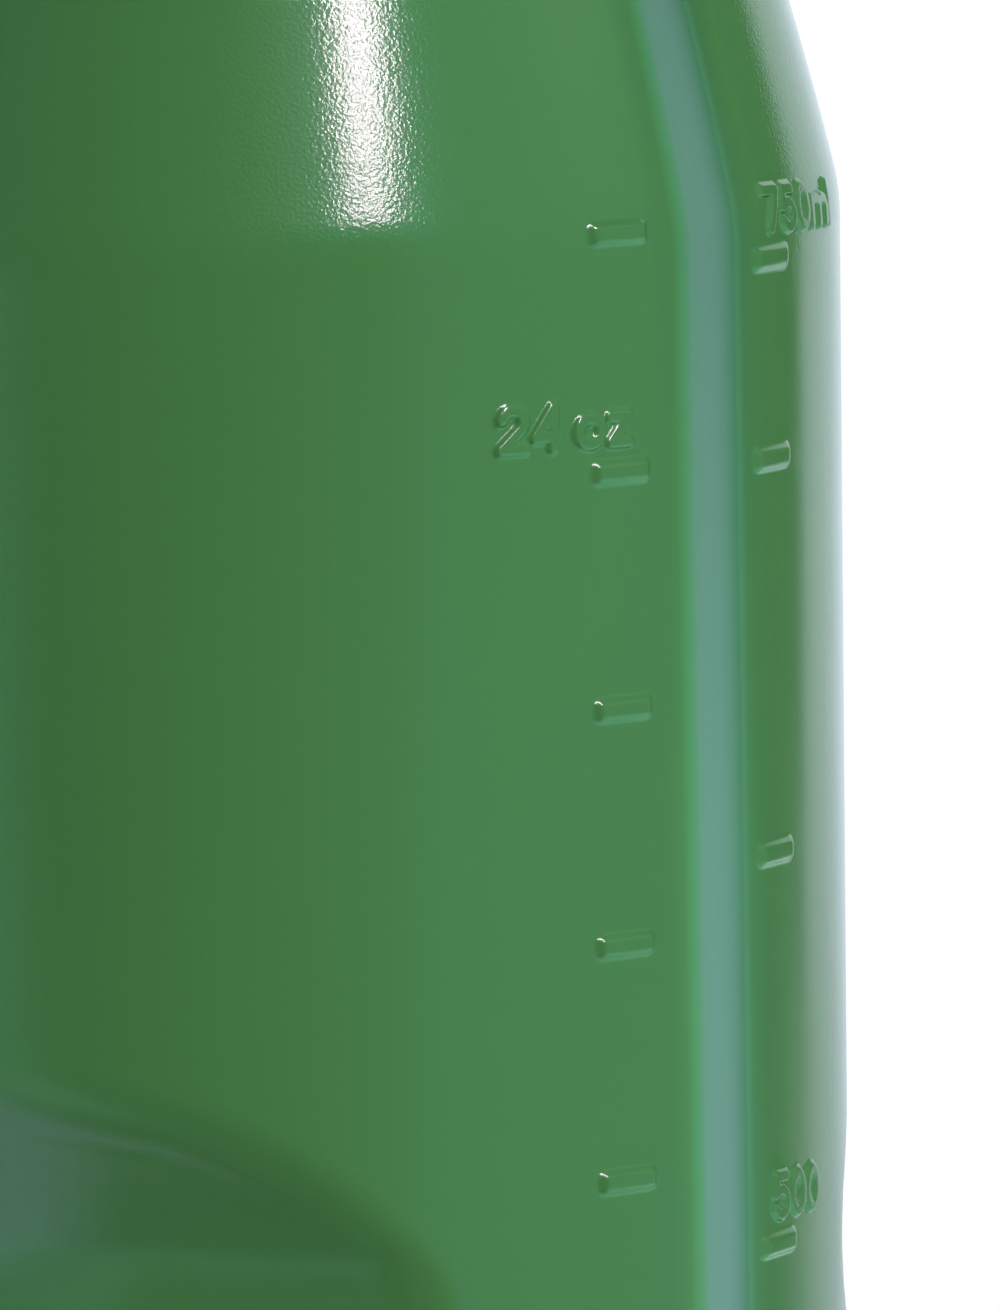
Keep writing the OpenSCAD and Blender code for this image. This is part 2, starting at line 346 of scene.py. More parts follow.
def lathe(outline, columns, shape=None):
    """A turned form. The outline is closed, or runs from the axis to the axis.
    shape(angle, r, z) moves the points."""
    angle = np.arange(columns) * 2 * math.pi / columns
    on_axis = outline[0][0] < 1e-6
    rings = outline[1:-1] if on_axis else outline
    r, z = (np.repeat(rings[:, i:i + 1], columns, 1) for i in (0, 1))
    a = np.repeat(angle[None, :], len(rings), 0)
    if shape:
        r, z = shape(a, r, z)
    points = polar(r, a, z).reshape(-1, 3)
    faces = [band(i * columns, (i + 1) * columns, columns) for i in range(len(rings) - 1)]
    if not on_axis:
        faces.append(band((len(rings) - 1) * columns, 0, columns))
        return points, [f for quads in faces for f in quads]
    faces = [f for quads in faces for f in quads]
    faces += fans(len(points), (len(rings) - 1) * columns, columns)
    return np.vstack([points, [0, 0, outline[0][1]], [0, 0, outline[-1][1]]]), faces


def thread(angle, z, start, pitch, turns, base_w, crest_w, fade=0.2):
    """A right-hand thread ridge from 0 to 1, as a field over angle and height."""
    out = np.zeros(angle.shape)
    for k in range(math.ceil(turns) + 1):
        turn = angle / (2 * math.pi) + k
        away = np.abs(z - start - pitch * turn)
        ridge = smooth((base_w / 2 - away) / (base_w / 2 - crest_w / 2))
        ends = smooth(turn / fade) * smooth((turns - turn) / fade)
        out = np.maximum(out, ridge * ends)
    return out


# ---------------------------------------------------------------- materials
def node_tree(name):
    material = bpy.data.materials.new(name)
    material.use_nodes = True
    tree = material.node_tree
    return material, tree, tree.nodes["Principled BSDF"]


def add(tree, kind, inputs=None, **settings):
    """A node with its settings and inputs. An input is a value or another node's output."""
    node = tree.nodes.new(kind)
    for key, value in settings.items():
        setattr(node, key, value)
    for key, value in (inputs or {}).items():
        if isinstance(value, bpy.types.NodeSocket):
            tree.links.new(value, node.inputs[key])
        else:
            node.inputs[key].default_value = value
    return node


def noise(tree, size_mm, detail=2.0, roughness=0.5, stretch=(1, 1, 1)):
    """A noise value over the object, with features of about size_mm."""
    place = add(tree, "ShaderNodeTexCoord").outputs["Object"]
    scale = tuple(1 / (size_mm * MM * s) for s in stretch)
    mapping = add(tree, "ShaderNodeMapping", {"Vector": place, "Scale": scale})
    texture = add(tree, "ShaderNodeTexNoise", {
        "Vector": mapping.outputs[0], "Scale": 1.0, "Detail": detail, "Roughness": roughness})
    return texture.outputs[0]


def ramp(tree, factor, stops):
    """A colour ramp through (position, colour) stops."""
    node = add(tree, "ShaderNodeValToRGB", {"Fac": factor})
    elements = node.color_ramp.elements
    while len(elements) < len(stops):
        elements.new(0.5)
    for element, (position, colour) in zip(elements, stops):
        element.position = position
        element.color = (*colour, 1)
    return node.outputs["Color"]


def graded(tree, value, start, end, low, high):
    """low up to the start, high from the end on, and an even change in between."""
    limits = {"From Min": start, "From Max": end, "To Min": low, "To Max": high}
    return add(tree, "ShaderNodeMapRange", {"Value": value, **limits}).outputs[0]


def mixed(tree, factor, a, b):
    """Colour a where the factor is 0, and colour b where it is 1."""
    node = add(tree, "ShaderNodeMix", data_type="RGBA")
    for key, value in ((0, factor), (6, a), (7, b)):
        if isinstance(value, bpy.types.NodeSocket):
            tree.links.new(value, node.inputs[key])
        else:
            node.inputs[key].default_value = value if key == 0 else (*value, 1)
    return node.outputs[2]


def bumped(tree, layers):
    """Stacked bumps of (height factor, strength, depth in millimetres)."""
    normal = None
    for height, strength, depth in layers:
        inputs = {"Height": height, "Strength": strength, "Distance": depth * MM}
        node = add(tree, "ShaderNodeBump", inputs)
        if normal is not None:
            tree.links.new(normal, node.inputs["Normal"])
        normal = node.outputs["Normal"]
    return normal


def product(tree, a, b):
    return add(tree, "ShaderNodeMath", {0: a, 1: b}, operation="MULTIPLY").outputs[0]


def wire(tree, shader, colour, roughness, normal):
    tree.links.new(colour, shader.inputs["Base Color"])
    tree.links.new(roughness, shader.inputs["Roughness"])
    tree.links.new(normal, shader.inputs["Normal"])


GREEN = (0.0765, 0.247, 0.0765)
GREEN_DEEP = (0.0715, 0.233, 0.070)
# Colours across the stripe, from 7 mm at one side of its middle to 7 mm at the other. They mix the
# stripe's own tone with painted light: the light that the wall lets through is painted in, so the stripe's
# slanted sides show as painted soft steps, with a painted bright green line on the outside of each.
ACROSS = 7.0
STRIPE_STOPS_WITH_PAINTED_LIGHT = [
    (-5.2, GREEN), (-3.5, (0.083, 0.278, 0.082)), (-2.75, (0.094, 0.350, 0.122)),
    (-2.3, (0.112, 0.365, 0.172)), (-1.75, (0.155, 0.372, 0.256)), (-0.8, (0.165, 0.372, 0.276)),
    (0.4, (0.158, 0.364, 0.268)), (1.3, (0.136, 0.335, 0.230)), (1.95, (0.105, 0.302, 0.172)),
    (2.35, (0.084, 0.274, 0.133)), (2.75, (0.094, 0.314, 0.136)), (3.4, (0.078, 0.262, 0.086)),
    (5.0, GREEN)]
# The shoulder is glossier and coarser than the body. The change lies between these heights.
AT_KINK = ((KINK_Z - 4.8) * MM, (KINK_Z + 2.2) * MM)


def bottle_material(name):
    """Green moulded polyethylene with the natural stripe in it. Bottle and stripe share one ramp."""
    material, tree, shader = node_tree(name)
    clouds = noise(tree, 14, detail=2, stretch=(1, 1, 3.5))
    green = mixed(tree, clouds, GREEN_DEEP, GREEN)
    place = add(tree, "ShaderNodeAttribute", attribute_name="across_mm").outputs["Fac"]
    across = graded(tree, place, -ACROSS, ACROSS, 0, 1)
    bands = ramp(tree, across, [((x + ACROSS) / (2 * ACROSS), c) for x, c in STRIPE_STOPS_WITH_PAINTED_LIGHT])
    coordinates = add(tree, "ShaderNodeTexCoord").outputs["Object"]
    height = add(tree, "ShaderNodeSeparateXYZ", {0: coordinates}).outputs["Z"]
    # Painted light on the stripe: red and blue are lifted by 1.09 below 0.12 to 0.16 m, a painted bluish
    # reflection, and the colour falls to 0.75 above 0.155 to 0.206 m, painted shade.
    low = graded(tree, height, 0.12, 0.16, 1.09, 1.0)
    high = graded(tree, height, 0.155, 0.206, 1.0, 0.75)
    bluish_reflection_tint = add(tree, "ShaderNodeCombineXYZ", {0: low, 1: 1.0, 2: low}).outputs[0]
    bands = add(tree, "ShaderNodeVectorMath", {0: bands, 1: bluish_reflection_tint}, operation="MULTIPLY").outputs[0]
    bands = add(tree, "ShaderNodeVectorMath", {0: bands, 3: high}, operation="SCALE").outputs[0]
    span_out = add(tree, "ShaderNodeMath", {0: place}, operation="ABSOLUTE").outputs[0]
    beside = graded(tree, span_out, 3.4, 5.4, 0, 1)
    colour = mixed(tree, beside, bands, green)
    glossy = graded(tree, height, *AT_KINK, 1.0, 0.75)
    rough = product(tree, graded(tree, noise(tree, 9, detail=3), 0, 1, 0.15, 0.19), glossy)
    coarse = graded(tree, height, *AT_KINK, 0.4, 1.0)
    grain = product(tree, noise(tree, 0.23, detail=1.0, roughness=0.6), coarse)
    normal = bumped(tree, [(grain, 1.0, 0.0165), (noise(tree, 3.2, detail=1), 0.5, 0.015)])
    wire(tree, shader, colour, rough, normal)
    shader.inputs["IOR"].default_value = 1.5
    return material


def closure_material(name, light, dark):
    """Injection-moulded polypropylene with faint handling marks."""
    material, tree, shader = node_tree(name)
    clouds = noise(tree, 11, detail=3)
    colour = mixed(tree, clouds, dark, light)
    roughness = graded(tree, noise(tree, 2.2, detail=4, stretch=(1, 1, 0.25)), 0, 1, 0.3, 0.38)
    fine, broad = noise(tree, 0.35, detail=2), noise(tree, 4, detail=1)
    normal = bumped(tree, [(fine, 0.25, 0.02), (broad, 0.3, 0.03)])
    wire(tree, shader, colour, roughness, normal)
    shader.inputs["IOR"].default_value = 1.5
    return material


def foam_material(name):
    """Closed-cell foam with fine cells."""
    material, tree, shader = node_tree(name)
    place = add(tree, "ShaderNodeTexCoord").outputs["Object"]
    mapping = add(tree, "ShaderNodeMapping", {"Vector": place, "Scale": (1 / (0.35 * MM),) * 3})
    cells = add(tree, "ShaderNodeTexVoronoi", {"Vector": mapping.outputs[0], "Scale": 1.0})
    colour = mixed(tree, noise(tree, 3, detail=3), (0.62, 0.62, 0.58), (0.74, 0.74, 0.7))
    roughness = graded(tree, cells.outputs["Distance"], 0, 1, 0.65, 0.85)
    normal = bumped(tree, [(cells.outputs["Distance"], 0.5, 0.05), (noise(tree, 1.5), 0.3, 0.05)])
    wire(tree, shader, colour, roughness, normal)
    return material


BOTTLE_GREEN = bottle_material("bottle_green_polyethylene")
STRIPE_NATURAL = bottle_material("stripe_natural_polyethylene")
CLOSURE_WHITE = closure_material("closure_white_polypropylene", (0.80, 0.78, 0.71), (0.74, 0.71, 0.63))
CAP_GREEN = closure_material("cap_green_polypropylene", (0.035, 0.13, 0.045), (0.028, 0.11, 0.037))
LINER_FOAM = foam_material("liner_foam")

# ---------------------------------------------------------------- bottle and stripe
LABEL_BELOW = 1.1
LABEL_ABOVE = 0.65
MARK_ZONE_H = 1.2
FINE_CUTS = 12
STRIPE_SPLITS = 6


def split(start, end, step):
    """Even stops from the start to just before the end, no further apart than step."""
    count = max(1, math.ceil((end - start) / step - 1e-6))
    return [start + (end - start) * k / count for k in range(count)]


def column_angles():
    """Column angles in degrees, with lines on the stripe's edges and round the marks and labels."""
    stops = [(-28.4, 2.4), (-17.0, 2.4), (-7.6, 2.4), (-STRIPE_HALF, 2 * STRIPE_HALF / STRIPE_SPLITS),
             (STRIPE_HALF, 2.4), (5.9, 2.4), (15.4, 2.4), (30.0, 3.0)]
    out = []
    for (a, step), (b, _) in zip(stops, stops[1:] + [(331.6, 0)]):
        out.extend(split(a, b, step))
    return np.array(out)


def row_heights():
    """Heights of the rows of the body and shoulder, with lines round every mark and label."""
    stops = {HEEL_R, STRIPE_LOW, STRIPE_HIGH, KINK_Z - 1.6, KINK_Z + 1.6}
    for mark_z in [*OZ_MARKS.values(), *ML_MARKS.values()]:
        stops |= {mark_z - MARK_ZONE_H, mark_z + MARK_ZONE_H}
    for _, _, _, base, _ in LABELS:
        stops |= {base - LABEL_BELOW, base + DIGIT_H + LABEL_ABOVE}
    stops = sorted(stops)
    stops = [stops[0]] + [b for a, b in zip(stops, stops[1:]) if b - a > 0.25]
    out = []
    for a, b in zip(stops, stops[1:]):
        middle = (a + b) / 2
        by_kink, by_recess = abs(middle - KINK_Z) < 1.7, abs(middle - RECESS_Z) < 17
        step = 0.3 if by_kink else 1.3 if by_recess else 2.1
        out.extend(split(a, b, step))
    return np.array(out + [stops[-1]])


def stripe_wander(z):
    """The stripe isn't quite straight: how far its middle leans round the body, in degrees."""
    return 1.9 * np.sin((KINK_Z - np.clip(z, 0, LEDGE_Z)) / 100.0) * smooth((z - HEEL_R) / 40)


def stripe_narrowing(z):
    return 1 - 0.055 * smooth((KINK_Z + 5 - z) / 90)


COLUMNS = column_angles()
ROWS = row_heights()
IN_STRIPE = (COLUMNS > -STRIPE_HALF - 1e-6) & (COLUMNS < STRIPE_HALF - 1e-6)
STRIPE_ROWS = [int(np.argmin(np.abs(ROWS - end))) for end in (STRIPE_LOW, STRIPE_HIGH)]


def warped(z):
    """Column angles at a height in degrees: the columns by the stripe follow it, and the rest stay."""
    pull = smooth(1 - (np.abs(COLUMNS) - STRIPE_HALF) / 3.0)
    return COLUMNS * (1 + (stripe_narrowing(z) - 1) * pull) + stripe_wander(z) * pull


def ring(r, z, degrees=COLUMNS):
    a = np.radians(degrees)
    return polar(r, a, np.broadcast_to(z, a.shape))


def body_ring(z, inset):
    """A ring of the body's skin at a height, or of the wall's inside, which lies an inset below it."""
    degrees = warped(z)
    a = np.radians(degrees)
    return ring(outer_radius(a, np.full(a.shape, z)) - inset, z, degrees)


def store_across(piece):
    """Stores how far round from the stripe's middle each point is, in mm, scaled with its width."""
    x, y, z = read(piece.data.vertices, "co").T / MM
    across = np.radians(np.degrees(np.arctan2(y, x)) - stripe_wander(z)) * BODY_R / stripe_narrowing(z)
    layer = piece.data.attributes.new("across_mm", "FLOAT", "POINT")
    layer.data.foreach_set("value", across.astype(np.float32))


def neck_rows():
    """Rings from the top row of the shoulder over the ledge, the neck and the rim to the inner ledge."""
    top = ROWS[-1]
    corners = [
        (float(body_radius(top)), top, 0), (LEDGE_R + 0.1, LEDGE_Z, 0.9), (NECK_R, LEDGE_Z, 0.7),
        (NECK_R, BEAD_Z, 0.2), (BEAD_R, BEAD_Z + 0.35, 0.35), (BEAD_R, BEAD_Z + 1.15, 0.35),
        (NECK_R, BEAD_Z + 1.9, 0.4), (NECK_R, RIM_Z, 0.5), (BORE_R, RIM_Z, 0.4),
        (BORE_R, LEDGE_Z - LEDGE_T, 1.2), (float(body_radius(top)) - 1.6, LEDGE_Z - LEDGE_T - 0.4, 0.8),
        (float(body_radius(top)) - INSET, top, 0)]
    outline = rounded(corners)
    outline = dense(outline, lambda r, z: 0.28 if r > 17.3 and z > BEAD_Z + 1.6 else 1.6, closed=False)
    rings = []
    for r, z in outline[1:-1]:
        radius = np.full(COLUMNS.shape, r)
        if abs(r - NECK_R) < 0.02 and z > BEAD_Z + 1.8:
            a = np.radians(COLUMNS) % (2 * math.pi)
            ridge = thread(a, np.full(a.shape, z), THREAD_Z, NECK_PITCH, 1.5, 2.1, 0.9)
            radius = radius + (NECK_THREAD_R - NECK_R) * ridge
        rings.append(ring(radius, z))
    return rings


PINCH_H = 0.45


def base_height(r, z, degrees):
    """The moulded pinch line along X under the base."""
    y = r * np.sin(np.radians(degrees))
    inside = smooth((FOOT_IN_R - 3 - r) / 2)
    return z - PINCH_H * smooth(1 - np.abs(y) / 0.9) * inside


def base_rows(outer):
    """Rings of the base from near the axis out to the heel, below the base or inside it."""
    if outer:
        corners = [(0.0, PUSH_UP, 0), (FOOT_IN_R - 4, PUSH_UP, 1.5), (FOOT_IN_R, 0.0, 0.9),
                   (BODY_R - HEEL_R, 0.0, 0)]
        heel = [(BODY_R - HEEL_R + HEEL_R * math.sin(t), HEEL_R - HEEL_R * math.cos(t))
                for t in np.linspace(0, math.pi / 2, 12)]
    else:
        inner_r = HEEL_R - BASE_T
        corners = [(0.0, PUSH_UP + BASE_T, 0), (FOOT_IN_R - 4.5, PUSH_UP + BASE_T, 1.5),
                   (FOOT_IN_R - 0.5, BASE_T, 0.9), (BODY_R - HEEL_R, BASE_T, 0)]
        heel = [(BODY_R - HEEL_R + (inner_r + 0.4 * k / 11) * math.sin(t),
                 HEEL_R - inner_r * math.cos(t))
                for k, t in enumerate(np.linspace(0, math.pi / 2, 12))]
    outline = np.vstack([dense(open_rounded(corners), 2.4, closed=False)[1:], heel[1:-1]])
    rings = []
    for r, z in outline:
        level = np.full(COLUMNS.shape, z)
        if outer:
            level = base_height(np.full(COLUMNS.shape, r), level, COLUMNS)
        rings.append(ring(np.full(COLUMNS.shape, r), level))
    return rings


def open_rounded(corners):
    """rounded() for an open line: its ends stay as they are."""
    far = [(corners[-1][0], corners[-1][1] + 99, 0), (corners[0][0], corners[0][1] + 99, 0)]
    return rounded(corners + far)[:-2]


def refine(mesh, wanted, cuts):
    """Cuts each wanted outer face of the body into a fine grid."""
    x, y, z = read(mesh.polygons, "center").T / MM
    r, a = np.hypot(x, y), np.arctan2(y, x)
    outside = (z > HEEL_R) & (z < ROWS[-1]) & (r > outer_radius(a, z) - 0.5)
    picked = np.nonzero(outside & wanted(np.degrees(a), z))[0]
    bm = bmesh.new()
    bm.from_mesh(mesh)
    bm.faces.ensure_lookup_table()
    edges = list({edge for i in picked for edge in bm.faces[i].edges})
    bmesh.ops.subdivide_edges(bm, edges=edges, cuts=cuts, use_grid_fill=True)
    bm.to_mesh(mesh)
    bm.free()


def near_relief(degrees, z):
    """Whether faces are on or round a mark or a label."""
    near = np.zeros(z.shape, bool)
    for middle, marks in ((OZ_DEG, OZ_MARKS), (ML_DEG, ML_MARKS)):
        for mark_z in marks.values():
            near |= (np.abs(degrees - middle) < 5.4) & (np.abs(z - mark_z) < MARK_ZONE_H)
    for _, width, left, base, _ in LABELS:
        half = math.degrees(width / BODY_R) / 2
        beside = np.abs(degrees - left - half) < half + 2.3
        near |= beside & (z > base - LABEL_BELOW) & (z < base + DIGIT_H + LABEL_ABOVE)
    return near


def near_recess(side):
    """A test for the faces in and round the recess whose middle is at side degrees."""
    return lambda degrees, z: (np.abs(degrees - side) < 64) & (np.abs(z - RECESS_Z) < 18)


def smooth_seam(piece):
    """Gives the outer edge of the stripe's seam the normals of the whole skin, so that no line shows."""
    mesh = piece.data
    mesh.set_sharp_from_angle(angle=math.radians(50))
    x, y, z = read(mesh.vertices, "co").T / MM
    r, a = np.hypot(x, y), np.arctan2(y, x)
    seam = np.abs(np.degrees(a) - stripe_wander(z)) < STRIPE_HALF + 0.3
    seam &= r > outer_radius(a, z) - 0.3
    seam &= (z > STRIPE_LOW - 0.1) & (z < STRIPE_HIGH + 0.1)
    lean = (body_radius(z + 0.2) - body_radius(z - 0.2)) / 0.4
    skin = np.stack([np.cos(a), np.sin(a), -lean], 1)
    skin /= np.linalg.norm(skin, axis=1)[:, None]
    corners = np.empty(len(mesh.loops), int)
    mesh.loops.foreach_get("vertex_index", corners)
    normals = read(mesh.corner_normals, "vector")
    faces = np.repeat(np.arange(len(mesh.polygons)), [p.loop_total for p in mesh.polygons])
    flat = read(mesh.polygons, "normal")[faces]
    outward = np.einsum("ij,ij->i", flat, skin[corners]) > 0.8
    use = seam[corners] & outward
    normals[use] = skin[corners][use]
    mesh.normals_split_custom_set(normals.tolist())


def build_bottle():
    """The bottle as one closed skin, with a slot through its wall where the stripe sits."""
    outer = [body_ring(z, 0) for z in ROWS]
    inner = [body_ring(z, INSET) for z in ROWS]
    rings = base_rows(True) + outer + neck_rows() + inner[::-1] + base_rows(False)[::-1]
    first_outer = len(base_rows(True))
    first_inner = first_outer + len(outer) + len(neck_rows())
    count = len(COLUMNS)
    points = np.vstack(rings)
    low, high = STRIPE_ROWS
    slot_columns = set(np.nonzero(IN_STRIPE)[0].tolist())

    def at(row, column, inside=False):
        ring_index = first_inner + (len(ROWS) - 1 - row) if inside else first_outer + row
        return ring_index * count + column % count

    faces = []
    for i in range(len(rings) - 1):
        row = i - first_outer if i < first_outer + len(ROWS) else len(ROWS) - 2 - (i - first_inner)
        on_body = any(first <= i < first + len(ROWS) - 1 for first in (first_outer, first_inner))
        for j in range(count):
            if on_body and low <= row < high and j in slot_columns:
                continue
            k = (j + 1) % count
            faces.append((i * count + j, i * count + k, (i + 1) * count + k, (i + 1) * count + j))
    left, right = min(slot_columns), max(slot_columns) + 1
    for row in range(low, high):
        for column in (left, right):
            faces.append((at(row, column), at(row + 1, column),
                          at(row + 1, column, True), at(row, column, True)))
    for column in range(left, right):
        for row in (low, high):
            faces.append((at(row, column), at(row, column + 1),
                          at(row, column + 1, True), at(row, column, True)))
    faces += fans(len(points), (len(rings) - 1) * count, count)
    points = np.vstack([points, [0, 0, PUSH_UP - PINCH_H], [0, 0, PUSH_UP + BASE_T]])
    bottle = new_piece("bottle_shell_moulding", points, faces, "bottle", BOTTLE_GREEN,
                       ["bottle_shell"])

    refine(bottle.data, near_relief, FINE_CUTS)
    refine(bottle.data, near_recess(-90), 2)
    refine(bottle.data, near_recess(90), 1)
    bottle.data.shade_smooth()

    x, y, z = read(bottle.data.vertices, "co").T / MM
    r, a = np.hypot(x, y), np.arctan2(y, x)
    smooth_r = outer_radius(a, z)
    skin = (z > HEEL_R - 1e-3) & (z < ROWS[-1] + 1e-3) & (r > smooth_r - 0.5)
    raised = np.zeros(len(z))
    raised[skin] = relief(np.degrees(a[skin]), z[skin])
    r = np.where(skin, smooth_r + raised, r)
    bottle.data.vertices.foreach_set("co", (polar(r, a, z) * MM).ravel())
    bottle.data.update()
    store_across(bottle)
    smooth_seam(bottle)


def build_stripe():
    """The stripe as a strip of the same skin that fills the slot."""
    low, high = STRIPE_ROWS
    columns = np.nonzero(IN_STRIPE)[0]
    columns = np.append(columns, columns[-1] + 1)
    outer = np.array([body_ring(z, 0)[columns] for z in ROWS[low:high + 1]])
    inner = np.array([body_ring(z, INSET)[columns] for z in ROWS[low:high + 1]])
    rows, count = outer.shape[:2]
    points = np.vstack([outer.reshape(-1, 3), inner.reshape(-1, 3)])

    def at(i, j, inside=0):
        return inside * rows * count + i * count + j

    faces = []
    for inside in (0, 1):
        for i in range(rows - 1):
            for j in range(count - 1):
                faces.append((at(i, j, inside), at(i, j + 1, inside),
                              at(i + 1, j + 1, inside), at(i + 1, j, inside)))
    for i in range(rows - 1):
        for j in (0, count - 1):
            faces.append((at(i, j), at(i + 1, j), at(i + 1, j, 1), at(i, j, 1)))
    for j in range(count - 1):
        for i in (0, rows - 1):
            faces.append((at(i, j), at(i, j + 1), at(i, j + 1, 1), at(i, j, 1)))
    stripe = new_piece("view_stripe_inlay", points, faces, "bottle", STRIPE_NATURAL,
                       ["view_stripe"])
    store_across(stripe)
    smooth_seam(stripe)


build_bottle()
build_stripe()

# ---------------------------------------------------------------- closure
SKIRT_R = 21.8
SKIRT_IN_R = 19.35
CONE_R = 17.2
CONE_Z = SEAT_Z + 1.8
CONE_TOP_R = 8.6
TIP_H = 12.0
CONE_TOP_Z = TIP_Z - TIP_H
TIP_THREAD_Z = CONE_TOP_Z + 3.6
TIP_R = 6.8
TIP_THREAD_R = 7.7
TIP_PITCH = 2.6
OUTLET_R = 5.2
CAP_R = 10.4
CAP_IN_R = 8.15
SKIRT_FLUTES = 36
CAP_FLUTES = 24
RING_R = 21.6
BRIDGES = 12


def flute(angle, count, width):
    """0 on the lands and 1 in the middle of each groove, count grooves round."""
    phase = np.abs(((angle * count / (2 * math.pi)) % 1.0 + 0.5) % 1.0 - 0.5)
    return smooth(1 - phase / width)


def shape_spout(a, r, z):
    """Adds the skirt's flutes, both threads and the torn ends of the bridges."""
    land = (r > SKIRT_R - 0.05) * smooth((z - SKIRT_Z - 0.9) / 1.0) * smooth((CONE_Z - 2.0 - z) / 1.0)
    r = r - 0.5 * flute(a, SKIRT_FLUTES, 0.24) * land
    inner = np.abs(r - SKIRT_IN_R) < 0.02
    start = THREAD_Z + NECK_PITCH / 2
    r = r - inner * (SKIRT_IN_R - NECK_R - 0.5) * thread(a, z, start, NECK_PITCH, 1.25, 2.0, 0.8)
    tip = (np.abs(r - TIP_R) < 0.02) & (z > CONE_TOP_Z + 0.2)
    r = r + tip * (TIP_THREAD_R - TIP_R) * thread(a, z, TIP_THREAD_Z, TIP_PITCH, 1.75, 1.35, 0.45)
    bridge = (z < SKIRT_Z + 0.02) & (r > SKIRT_R - 1.3)
    z = z - bridge * 0.2 * flute(a + 0.03, BRIDGES, 0.045)
    return r, z


def build_spout():
    """The fluted skirt, the cone and the threaded tip as one hollow moulding."""
    corners = [
        (SKIRT_IN_R, SKIRT_Z, 0.35), (SKIRT_R, SKIRT_Z, 0.35), (SKIRT_R, CONE_Z - 1.2, 0.7),
        (SKIRT_R - 1.2, CONE_Z, 0.8), (CONE_R + 0.5, CONE_Z, 0.3), (CONE_R + 0.3, CONE_Z + 1.2, 0.4),
        (CONE_R - 0.3, CONE_Z + 1.6, 0.5), (CONE_TOP_R, CONE_TOP_Z, 0.5),
        (TIP_R, CONE_TOP_Z, 0.25), (TIP_R, TIP_Z - 0.6, 0.3), (TIP_R - 0.6, TIP_Z, 0.25),
        (OUTLET_R, TIP_Z, 0.2), (OUTLET_R, CONE_TOP_Z - 4, 2.0), (CONE_R - 1.5, CONE_Z, 1.5),
        (CONE_R - 1.5, SEAT_Z, 0.2), (SKIRT_IN_R, SEAT_Z, 0.3)]

    def step(r, z):
        if r > SKIRT_IN_R - 0.1 and z < CONE_Z:
            return 0.45
        if abs(r - TIP_R) < 0.1 and z > CONE_TOP_Z:
            return 0.24
        return 2.5

    points, faces = lathe(dense(rounded(corners), step), SKIRT_FLUTES * 9, shape_spout)
    new_piece("pour_spout_moulding", points, faces, "spout", CLOSURE_WHITE,
              ["pour_spout"])


def shape_cap(a, r, z):
    """Adds the cap's flutes and its thread."""
    land = (r > CAP_R - 0.05) * smooth((z - CAP_Z - 0.7) / 0.8) * smooth((CAP_TOP - 1.5 - z) / 0.8)
    r = r - 0.4 * flute(a, CAP_FLUTES, 0.27) * land
    inner = (np.abs(r - CAP_IN_R) < 0.02) & (z < SEAL_TOP - 0.2)
    start = TIP_THREAD_Z + TIP_PITCH / 2
    r = r - inner * (CAP_IN_R - TIP_R - 0.35) * thread(a, z, start, TIP_PITCH, 1.5, 1.35, 0.4)
    return r, z


def build_cap():
    """The small fluted cap, hollow below, with a shallow dish and a gate mark on top."""
    corners = [
        (0.0, SEAL_TOP, 0), (CAP_IN_R, SEAL_TOP, 0.3), (CAP_IN_R, CAP_Z, 0.25), (CAP_R, CAP_Z, 0.3),
        (CAP_R, CAP_TOP - 0.9, 0.5), (CAP_R - 0.9, CAP_TOP, 0.6), (7.2, CAP_TOP, 0.3),
        (6.8, CAP_TOP - 0.3, 0.3), (1.6, CAP_TOP - 0.3, 0.3), (1.3, CAP_TOP - 0.65, 0.2),
        (0.9, CAP_TOP - 0.65, 0.1), (0.8, CAP_TOP - 0.35, 0.1), (0.0, CAP_TOP - 0.35, 0)]

    def step(r, z):
        return 0.24 if z < CAP_TOP - 0.6 and r > CAP_IN_R - 0.1 else 1.0

    outline = dense(open_rounded(corners), step, closed=False)
    points, faces = lathe(outline, CAP_FLUTES * 12, shape_cap)
    new_piece("tip_cap_moulding", points, faces, "cap", CAP_GREEN, ["tip_cap"])


def shape_ring(a, r, z):
    """Adds the torn ends of the bridges."""
    bridge = (z > RING_TOP - 0.02) & (r > RING_R - 1.3)
    return r, z + bridge * 0.2 * flute(a, BRIDGES, 0.05)


def build_ring():
    """The loose ring under the neck's bead, with its barb inside."""
    in_r = NECK_R + 0.4
    corners = [
        (in_r + 1.2, LEDGE_Z, 0.25), (RING_R, LEDGE_Z, 0.4), (RING_R, RING_TOP, 0.3),
        (in_r + 1.9, RING_TOP, 0.2), (in_r, RING_TOP - 0.4, 0.15), (in_r, RING_TOP - 1.3, 0.15)]
    points, faces = lathe(dense(rounded(corners), 0.6), 288, shape_ring)
    new_piece("tamper_ring_moulding", points, faces, "loose_ring", CLOSURE_WHITE,
              ["tamper_ring"])


def build_gasket():
    """The washer on the rim, which it dents a little."""
    out_r, in_r = NECK_R + 0.2, BORE_R - 1
    corners = [
        (in_r, RIM_Z, 0.2), (BORE_R - 0.1, RIM_Z, 0), (BORE_R + 0.1, RIM_Z + 0.1, 0.1),
        (NECK_R - 0.3, RIM_Z + 0.1, 0.1), (NECK_R - 0.1, RIM_Z, 0), (out_r, RIM_Z, 0.2),
        (out_r, SEAT_Z, 0.2), (in_r, SEAT_Z, 0.2)]
    points, faces = lathe(dense(rounded(corners), 0.5), 192)
    new_piece("rim_gasket_washer", points, faces, "gasket", LINER_FOAM, ["rim_gasket"])


